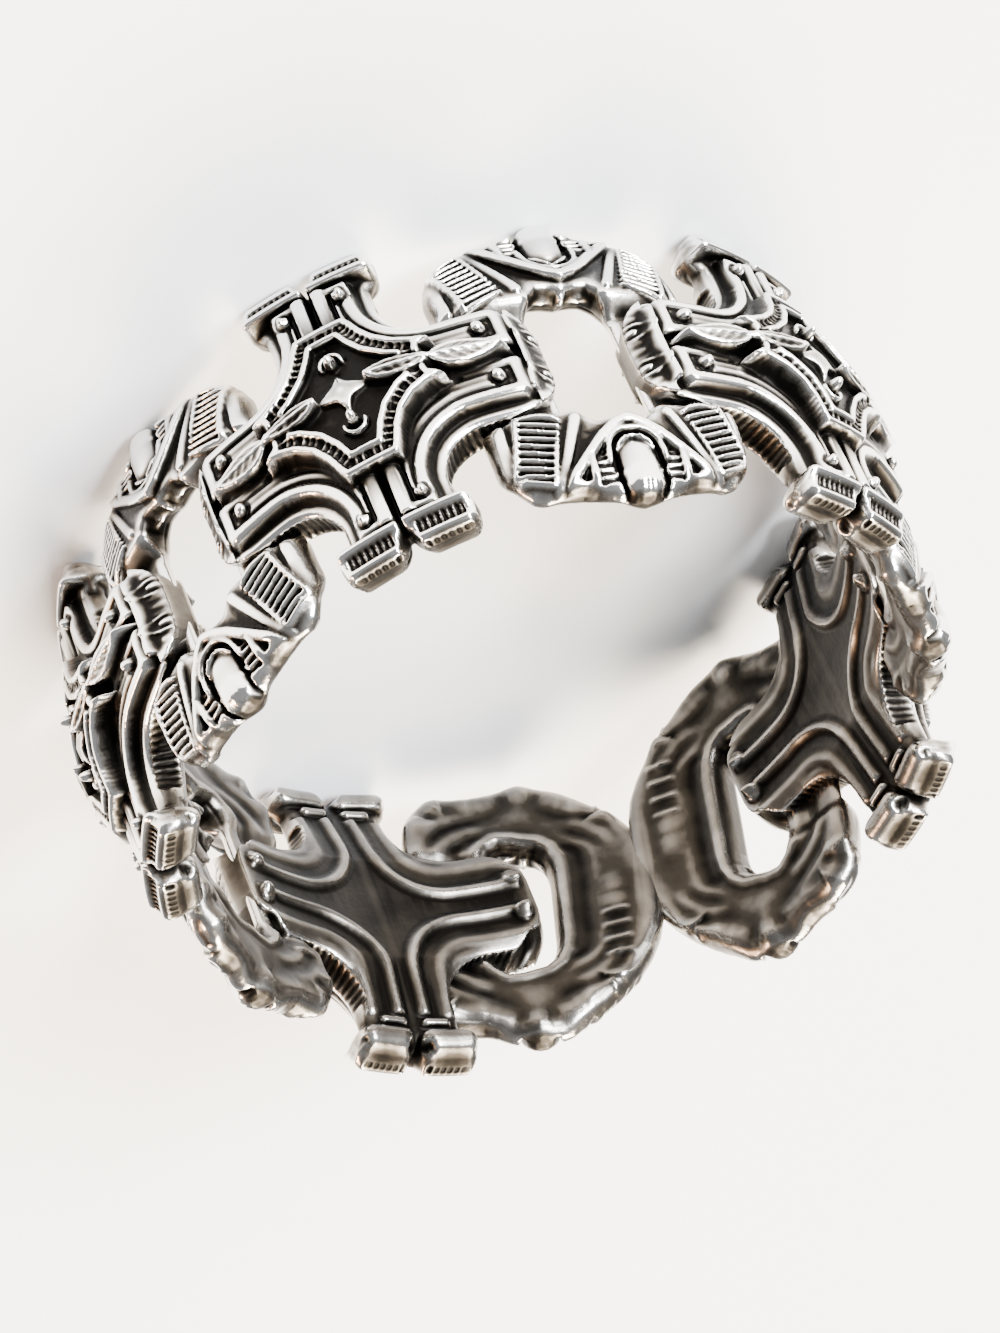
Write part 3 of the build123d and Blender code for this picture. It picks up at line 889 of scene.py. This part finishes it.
def wear_and_shade_at(points, field, soot, along):
    """Wear and painted shade at a carved piece's points: more on proud edges, less in grooves and in soot,
    and painted shade on walls and on inner faces.
    """
    solid = np.clip(0.5 - field, 0, 1)
    fine = sample(blurred(solid, FINE_BLUR), points)
    wide = sample(blurred(solid, WIDE_BLUR), points)
    slopes = np.stack([sample(slope, points) for slope in np.gradient(field)], axis=1)
    facing = slopes[:, 2] / np.linalg.norm(slopes, axis=1).clip(1e-6)
    inner = facing < 0
    wear_and_shade = FLAT_WEAR + np.where(inner, INNER_FINE, OUTER_FINE) * (0.5 - fine)
    wear_and_shade += np.where(inner, INNER_WIDE, OUTER_WIDE) * (0.5 - wide)
    # painted shade: upright walls and all faces turned inward are made darker
    wear_and_shade -= np.where(inner, INNER_STEEP_SHADE, OUTER_STEEP_SHADE) * (1 - np.abs(facing)) + INNER_SHADE * inner
    # painted shade: faces turned to the finger are held under a limit, so the inside stays dark
    shaded_inner = INNER_SHADE_LIMIT - INNER_SHADE_EASE * np.log1p(np.exp((INNER_SHADE_LIMIT - wear_and_shade) / INNER_SHADE_EASE))
    wear_and_shade = np.where(facing < -UPRIGHT, shaded_inner, wear_and_shade)
    soot_volume = np.repeat(soot[:, :, None], 2, axis=2)
    wear_and_shade -= SOOT_SHADE * sample(soot_volume, points * (1, 1, 0)) * (facing > 0)
    wear_and_shade -= RIM_SHADE * eased(np.abs(along) - RIM_START, 0.12) * (np.abs(facing) < UPRIGHT)
    return wear_and_shade


def carve(top, bottom, sides, soot, half, step):
    """Mesh points (mm), faces, and wear with painted shade, of a piece between its outer and inner faces
    and its sides.
    """
    ys = np.arange(-half[0], half[0] + step, step)
    zs = np.arange(-half[1], half[1] + step, step)
    heights = np.arange(LOWEST, HIGHEST, step).astype(np.float32)
    y, z = np.meshgrid(ys, zs, indexing="ij")
    field = outside_field(top(y, z), bottom(y, z), sides(y, z, heights), heights, step)
    grid = openvdb.FloatGrid(FAR_STEPS)
    grid.copyFromArray(field)
    points, _, quads = grid.convertToPolygons(0.0, 0.0)
    across = points[:, 0] * step + ys[0]
    along = points[:, 1] * step + zs[0]
    raised = points[:, 2] * step + LOWEST
    spots = np.stack([np.sqrt(raised**2 - across**2), across, along], axis=1)
    return spots, quads, wear_and_shade_at(points, field, soot(y, z), along)


def mesh_of(name, carved, triangles):
    """A Blender mesh of a carved piece, with its wear and painted shade as an attribute and about that
    many triangles.
    """
    spots, quads, wear_and_shade = carved
    mesh = bpy.data.meshes.new(name)
    mesh.vertices.add(len(spots))
    mesh.vertices.foreach_set("co", spots.astype(np.float32).ravel())
    mesh.loops.add(quads.size)
    mesh.loops.foreach_set("vertex_index", quads[:, ::-1].astype(np.int32).ravel())
    mesh.polygons.add(len(quads))
    mesh.polygons.foreach_set("loop_start", np.arange(0, quads.size, 4, dtype=np.int32))
    mesh.update(calc_edges=True)
    attribute = mesh.attributes.new("wear_and_shade", "FLOAT", "POINT")
    attribute.data.foreach_set("value", wear_and_shade.astype(np.float32))
    mesh.polygons.foreach_set("use_smooth", np.ones(len(quads), bool))
    holder = bpy.data.objects.new(name, mesh)
    bpy.context.scene.collection.objects.link(holder)
    holder.modifiers.new("fewer", "DECIMATE").ratio = triangles / (2 * len(quads))
    graph = bpy.context.evaluated_depsgraph_get()
    fewer = bpy.data.meshes.new_from_object(holder.evaluated_get(graph))
    bpy.data.objects.remove(holder)
    return fewer


def placement(turn, outward=0.0, twist=0.0, width=1.0, lift=0.0):
    """Where a piece that faces +X goes on the band, in metres."""
    hole = next(m for m in frame["record"]["mounts"] if m["name"] == "finger_hole")
    spot = Matrix.Translation(Vector(hole["pos_m"]))
    turned = Matrix.Rotation(math.radians(turn), 4, "Z")
    leant = Matrix.Rotation(math.radians(twist), 4, "X")
    moved = spot @ turned @ Matrix.Translation((outward * MM, 0, lift * MM))
    return moved @ leant @ Matrix.Diagonal((MM, MM, MM * width, 1))


def place(mesh, name, matrix):
    """One piece of the band."""
    own = mesh.copy()
    own.transform(matrix)
    piece = bpy.data.objects.new(name, own)
    bpy.context.scene.collection.objects.link(piece)
    own.materials.append(silver)
    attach(piece, "root")
    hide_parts("band")


# Silver: colour and roughness by wear and painted shade, and the scales of its blotches and grain
SILVER_COLOURS = (
    (0.1, (0.004, 0.0036, 0.0032)),
    (0.3, (0.028, 0.025, 0.021)),
    (0.5, (0.14, 0.13, 0.117)),
    (0.7, (0.42, 0.405, 0.38)),
    (0.92, (0.86, 0.848, 0.825)),
)
SILVER_ROUGHNESS = ((0.15, 0.42), (0.45, 0.3), (0.85, 0.16))  # wear and roughness there
BLOTCH_SCALE = 900
BLOTCH_STRENGTH = 0.35
GRAIN_SCALE = 6000
GRAIN_STRENGTH = 0.25
GRAIN_DEPTH = 0.00003


def make_silver():
    """Blackened silver: dark in the recesses, polished where it stands proud, and darker where shade is
    painted on walls and inner faces.
    """
    material = bpy.data.materials.new("blackened_silver")
    material.use_nodes = True
    nodes, links = material.node_tree.nodes, material.node_tree.links
    shader = nodes["Principled BSDF"]
    shader.inputs["Metallic"].default_value = 1.0
    carved_wear_and_shade = nodes.new("ShaderNodeAttribute")
    carved_wear_and_shade.attribute_name = "wear_and_shade"
    place_node = nodes.new("ShaderNodeTexCoord")

    def math_node(kind, first, second):
        node = nodes.new("ShaderNodeMath")
        node.operation = kind
        for slot, value in zip(node.inputs, (first, second)):
            if isinstance(value, (int, float)):
                slot.default_value = value
            else:
                links.new(value, slot)
        return node.outputs[0]

    def noise(scale, detail):
        node = nodes.new("ShaderNodeTexNoise")
        node.inputs["Scale"].default_value = scale
        node.inputs["Detail"].default_value = detail
        links.new(place_node.outputs["Object"], node.inputs["Vector"])
        return node.outputs["Fac"]

    def ramp(value, stops):
        node = nodes.new("ShaderNodeValToRGB")
        while len(node.color_ramp.elements) < len(stops):
            node.color_ramp.elements.new(0.5)
        for element, (position, colour) in zip(node.color_ramp.elements, stops):
            element.position = position
            element.color = (*colour, 1)
        links.new(value, node.inputs["Fac"])
        return node.outputs["Color"]

    patches = math_node("SUBTRACT", noise(BLOTCH_SCALE, detail=5), 0.5)
    blotches = math_node("MULTIPLY", patches, BLOTCH_STRENGTH)
    wear_and_shade = math_node("ADD", carved_wear_and_shade.outputs["Fac"], blotches)
    greys = [(position, (grey,) * 3) for position, grey in SILVER_ROUGHNESS]
    links.new(ramp(wear_and_shade, SILVER_COLOURS), shader.inputs["Base Color"])
    links.new(ramp(wear_and_shade, greys), shader.inputs["Roughness"])
    relief = nodes.new("ShaderNodeBump")
    relief.inputs["Strength"].default_value = GRAIN_STRENGTH
    relief.inputs["Distance"].default_value = GRAIN_DEPTH
    links.new(noise(GRAIN_SCALE, detail=4), relief.inputs["Height"])
    links.new(relief.outputs["Normal"], shader.inputs["Normal"])
    return material


# Pieces of the band
silver = make_silver()
cross_carving = carve(cross_top, cross_bottom, cross_sides, cross_soot, CROSS_HALF, CROSS_STEP)
cross_mesh = mesh_of("cross", cross_carving, CROSS_TRIANGLES)
link_carving = carve(link_top, link_bottom, link_sides, link_soot, LINK_HALF, LINK_STEP)
link_mesh = mesh_of("link", link_carving, LINK_TRIANGLES)
end_faces = [partial(face, is_end=True) for face in (link_top, link_bottom, link_sides)]
end_carving = carve(*end_faces, link_soot, END_LINK_HALF, LINK_STEP)
end_mesh = mesh_of("end_link", end_carving, LINK_TRIANGLES)

cross_turns = [(number - (CROSS_COUNT - 1) / 2) * PITCH for number in range(CROSS_COUNT)]
for number, turn in enumerate(cross_turns):
    place(cross_mesh, f"cross_{number + 1}", placement(turn))
for number, turn in enumerate(cross_turns[:-1]):
    place(link_mesh, f"link_{number + 1}", placement(turn + PITCH / 2))
for number, (turn, width, lift) in enumerate(END_LINKS):
    twist = END_TWIST + (0 if turn > 0 else 180)
    place(end_mesh, f"end_link_{number + 1}", placement(turn, END_OUTWARD, twist, width, lift))

# Floor
FLOOR_HALF = 0.6
floor_mesh = bpy.data.meshes.new("floor")
floor_corners = [(x * FLOOR_HALF, y * FLOOR_HALF, 0) for x, y in ((-1, -1), (1, -1), (1, 1), (-1, 1))]
floor_mesh.from_pydata(floor_corners, [], [(0, 1, 2, 3)])
floor = bpy.data.objects.new("floor", floor_mesh)
bpy.context.scene.collection.objects.link(floor)
paper = bpy.data.materials.new("paper")
paper.use_nodes = True
paper_shader = paper.node_tree.nodes["Principled BSDF"]
paper_shader.inputs["Base Color"].default_value = (0.9, 0.91, 0.93, 1)
paper_shader.inputs["Roughness"].default_value = 0.9
floor_mesh.materials.append(paper)

# Light
LIGHT_AIM = (0, 0, 0.005)
SOFTBOXES = (  # name, place, width, height, power in watts and colour
    ("right", (0.15, -0.23, 0.2), 0.14, 0.14, 5.5, (0.95, 0.97, 1.0)),
    ("low", (0.21, -0.25, 0.05), 0.16, 0.08, 2.2, (1, 1, 1)),
    ("top", (-0.11, -0.02, 0.27), 0.15, 0.15, 2.0, (1.0, 0.84, 0.66)),
    ("back", (-0.21, 0.03, 0.22), 0.2, 0.16, 3.6, (1.0, 0.85, 0.66)),
    ("left", (0.02, 0.28, 0.1), 0.08, 0.06, 0.8, (1.0, 0.6, 0.36)),
)
world = bpy.data.worlds.new("studio")
bpy.context.scene.world = world
world.use_nodes = True
background = world.node_tree.nodes["Background"]
background.inputs["Color"].default_value = (0.95, 0.97, 1.0, 1)
background.inputs["Strength"].default_value = 0.36


def softbox(name, spot, width, height, power, colour):
    """A rectangular soft light, in metres."""
    light = bpy.data.lights.new(name, "AREA")
    light.shape = "RECTANGLE"
    light.size, light.size_y = width, height
    light.energy = power
    light.color = colour
    lamp = bpy.data.objects.new(name, light)
    lamp.location = spot
    lamp.rotation_euler = (Vector(LIGHT_AIM) - Vector(spot)).to_track_quat("-Z", "Y").to_euler()
    bpy.context.scene.collection.objects.link(lamp)


for box in SOFTBOXES:
    softbox(*box)

# Camera, at the photograph's angle to the ring: angles in degrees, distances and lens in millimetres
CAMERA_AZIMUTH = -6.76
CAMERA_RISE = 41.3
CAMERA_DISTANCE = 173.1
CAMERA_ROLL = 156.9
CAMERA_AIM = (-0.06, 0.49, 0.13)  # from the middle of the finger's hollow
CAMERA_LENS = 162.0
camera = bpy.data.cameras.new("camera")
camera.lens = CAMERA_LENS
camera.sensor_fit = "VERTICAL"
camera.sensor_height = 36.0
camera.clip_start = 0.01
camera_object = bpy.data.objects.new("camera", camera)
bpy.context.scene.collection.objects.link(camera_object)
bpy.context.scene.camera = camera_object
target = placement(0).to_translation() + Vector(CAMERA_AIM) * MM
azimuth, rise = math.radians(CAMERA_AZIMUTH), math.radians(CAMERA_RISE)
back = Vector((math.cos(rise) * math.cos(azimuth), math.cos(rise) * math.sin(azimuth), math.sin(rise)))
camera_object.location = target + back * CAMERA_DISTANCE * MM
facing_back = back.to_track_quat("Z", "Y").to_matrix()
rolled = Matrix.Rotation(math.radians(CAMERA_ROLL), 3, "Z")
camera_object.rotation_euler = (facing_back @ rolled).to_euler()
